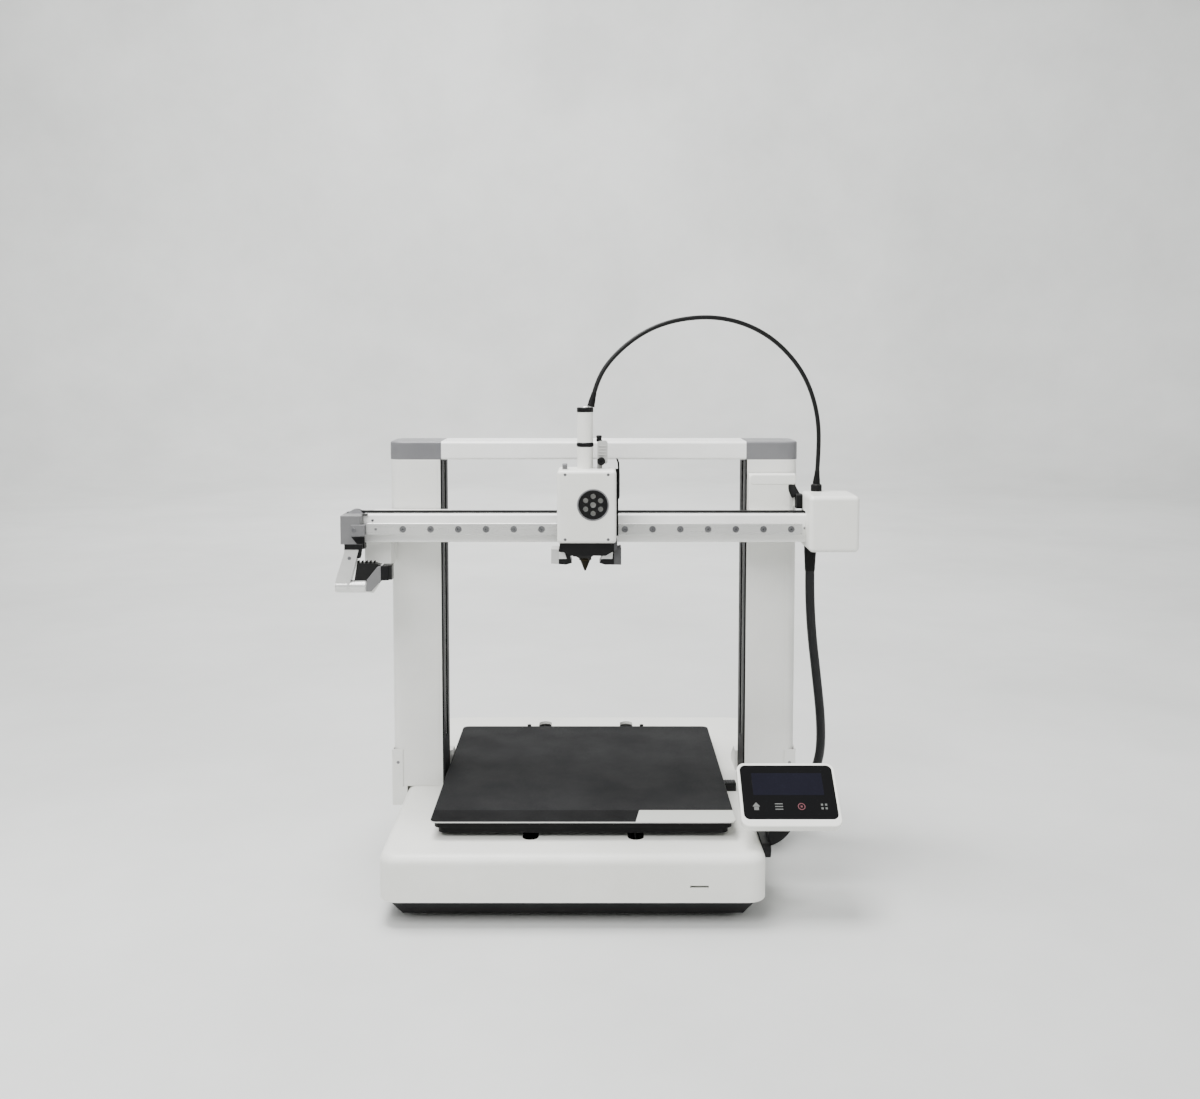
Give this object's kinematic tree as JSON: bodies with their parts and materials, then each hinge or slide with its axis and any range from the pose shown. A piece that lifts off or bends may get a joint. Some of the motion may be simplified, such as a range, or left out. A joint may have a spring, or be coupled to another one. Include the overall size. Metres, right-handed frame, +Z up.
{
  "type": "fdm printer",
  "caption": "Desktop FDM printer: low base with a sliding heated bed, two posts with a top beam, a lifting X gantry with its toolhead, and a tilting touch screen.",
  "frame": {"origin": "on the surface that the printer stands on, midway between the posts and at the middle of the base's depth", "axes": "+X to the printer's right as seen from the front, +Y towards its back, +Z up"},
  "size_m": [0.4675, 0.3916, 0.507],
  "materials": {
    "white_plastic": "fine-textured off-white moulding",
    "grey_plastic": "satin mid grey moulding",
    "black_plastic": "black moulding with a fine grain",
    "white_metal": "white powder coat",
    "steel": "ground steel",
    "dark_steel": "black oxide steel",
    "aluminium": "machined aluminium",
    "motor_metal": "black motor laminations",
    "heater_metal": "heat-stained aluminium",
    "brass": "turned brass",
    "rubber": "black rubber",
    "belt_rubber": "ribbed black belt",
    "circuit_board": "green solder mask",
    "plate_coating": "grainy charcoal coating on spring steel",
    "screen_glass": "black glossy screen cover",
    "cable_sheath": "black cable sheath"
  },
  "bodies": {
    "base": {"base_tray": "black_plastic", "base_shell": "white_plastic", "rubber_feet": "rubber", "power_supply": "steel", "mainboard": "circuit_board", "power_inlet": "black_plastic", "guide_rods": "steel", "base_motors": "motor_metal", "y_belt": "belt_rubber", "z_posts": "white_metal", "post_inner_strips": "black_plastic", "top_beam": "white_plastic", "beam_end_caps": "grey_plastic", "side_brackets": "grey_plastic", "screen_bracket": "black_plastic"},
    "supply_fan": {"power_supply_fan": "black_plastic"},
    "rocker": {"rocker_switch": "black_plastic"},
    "y_drive": {"y_drive_pulley": "aluminium"},
    "y_idler": {"y_idler_pulley": "aluminium"},
    "left_screw": {"left_lead_screw": "steel"},
    "right_screw": {"right_lead_screw": "steel"},
    "screen": {"screen_housing": "white_plastic", "screen_glass": "screen_glass"},
    "bed": {"bed_carriage": "aluminium", "bed_frame": "black_plastic", "heater_plate": "aluminium"},
    "sheet": {"build_plate": "plate_coating"},
    "gantry": {"x_beam": "white_metal", "x_rail": "steel", "rail_screws": "dark_steel", "left_z_carriage": "white_plastic", "right_z_carriage": "white_plastic", "left_end_block": "grey_plastic", "x_belt": "belt_rubber", "x_motor": "motor_metal", "x_end_box": "white_plastic", "cable_boots": "rubber", "purge_bracket": "aluminium", "toolhead_cable": "cable_sheath", "harness_cable": "cable_sheath"},
    "x_drive": {"x_drive_pulley": "aluminium"},
    "x_idler": {"x_idler_pulley": "aluminium"},
    "wiper": {"wiper_arm": "aluminium"},
    "toolhead": {"x_carriage": "steel", "toolhead_frame": "black_plastic", "front_cover": "white_plastic", "cover_screws": "dark_steel", "fan_grille": "black_plastic", "heatsink": "aluminium", "heater_block": "heater_metal", "nozzle": "brass", "cooling_duct": "black_plastic", "extruder_motor": "motor_metal", "filament_guide": "white_plastic", "inlet_fitting": "black_plastic"},
    "fan_rotor": {"hotend_fan": "white_plastic"},
    "blower": {"blower_rotor": "black_plastic"},
    "feed_gear": {"drive_gear": "steel"},
    "lever": {"tension_lever": "grey_plastic"},
    "press_gear": {"idler_gear": "steel"}
  },
  "joints": [
    {"name": "bed_slide", "type": "slide", "parent": "base", "child": "bed", "axis": [0, 1, 0], "range_m": [-0.1985, 0.0515]},
    {"name": "gantry_lift", "type": "slide", "parent": "base", "child": "gantry", "axis": [0, 0, 1], "range_m": [-0.204, 0.048], "deforming": ["harness_cable"]},
    {"name": "carriage_slide", "type": "slide", "parent": "gantry", "child": "toolhead", "axis": [1, 0, 0], "range_m": [-0.176, 0.158], "deforming": ["toolhead_cable"]},
    {"name": "sheet_pull", "type": "slide", "parent": "bed", "child": "sheet", "axis": [0, -1, 0], "range_m": [0, 0.27]},
    {"name": "screen_tilt", "type": "hinge", "parent": "base", "child": "screen", "pos_m": [0.165, -0.145, 0.083], "axis": [1, 0, 0], "range_deg": [-35, 8]},
    {"name": "rocker_press", "type": "hinge", "parent": "base", "child": "rocker", "pos_m": [-0.1, 0.1925, 0.039], "axis": [1, 0, 0], "range_deg": [0, 16]},
    {"name": "supply_fan_spin", "type": "hinge", "parent": "base", "child": "supply_fan", "pos_m": [-0.116, -0.125, 0.04], "axis": [0, 0, 1], "continuous": true},
    {"name": "y_drive_turn", "type": "hinge", "parent": "base", "child": "y_drive", "pos_m": [-0.009, 0.155, 0.04], "axis": [0, 0, 1], "range_deg": [-1800, 480]},
    {"name": "y_idler_turn", "type": "hinge", "parent": "base", "child": "y_idler", "pos_m": [-0.009, -0.166, 0.04], "axis": [0, 0, 1], "range_deg": [-1800, 480]},
    {"name": "left_screw_turn", "type": "hinge", "parent": "base", "child": "left_screw", "pos_m": [-0.1535, -0.0095, 0.2], "axis": [0, 0, 1], "range_deg": [-2200, 9200]},
    {"name": "right_screw_turn", "type": "hinge", "parent": "base", "child": "right_screw", "pos_m": [0.1535, -0.0095, 0.2], "axis": [0, 0, 1], "range_deg": [-2200, 9200]},
    {"name": "x_drive_turn", "type": "hinge", "parent": "gantry", "child": "x_drive", "pos_m": [0.21425, -0.06, 0.3224], "axis": [0, 1, 0], "range_deg": [-1600, 1440]},
    {"name": "x_idler_turn", "type": "hinge", "parent": "gantry", "child": "x_idler", "pos_m": [-0.2176, -0.06, 0.3224], "axis": [0, 1, 0], "range_deg": [-1600, 1440]},
    {"name": "wiper_swing", "type": "hinge", "parent": "gantry", "child": "wiper", "pos_m": [-0.2, -0.088, 0.2645], "axis": [1, 0, 0], "range_deg": [0, 25], "stiffness_Nm_per_rad": 0.05, "springref_deg": -17.19},
    {"name": "hotend_fan_spin", "type": "hinge", "parent": "toolhead", "child": "fan_rotor", "pos_m": [-0.0005, -0.12, 0.343], "axis": [0, 1, 0], "continuous": true},
    {"name": "blower_spin", "type": "hinge", "parent": "toolhead", "child": "blower", "pos_m": [-0.0005, -0.12, 0.3205], "axis": [0, 1, 0], "continuous": true},
    {"name": "feed_gear_turn", "type": "hinge", "parent": "toolhead", "child": "feed_gear", "pos_m": [-0.013, -0.102, 0.358], "axis": [0, 1, 0], "continuous": true},
    {"name": "lever_press", "type": "hinge", "parent": "toolhead", "child": "lever", "pos_m": [0.0005, -0.098, 0.353], "axis": [0, 1, 0], "range_deg": [0, 7], "stiffness_Nm_per_rad": 0.5, "springref_deg": -11.46},
    {"name": "press_gear_turn", "type": "hinge", "parent": "lever", "child": "press_gear", "pos_m": [-0.002, -0.102, 0.358], "axis": [0, 1, 0], "continuous": true}
  ],
  "couplings": [
    {"joint": "y_drive_turn", "follows": "bed_slide", "rad_per_m": 157.08},
    {"joint": "y_idler_turn", "follows": "bed_slide", "rad_per_m": 157.08},
    {"joint": "left_screw_turn", "follows": "gantry_lift", "rad_per_m": -785.4},
    {"joint": "right_screw_turn", "follows": "gantry_lift", "rad_per_m": -785.4},
    {"joint": "x_drive_turn", "follows": "carriage_slide", "rad_per_m": 157.08},
    {"joint": "x_idler_turn", "follows": "carriage_slide", "rad_per_m": 157.08},
    {"joint": "press_gear_turn", "follows": "feed_gear_turn", "ratio": -1}
  ]
}
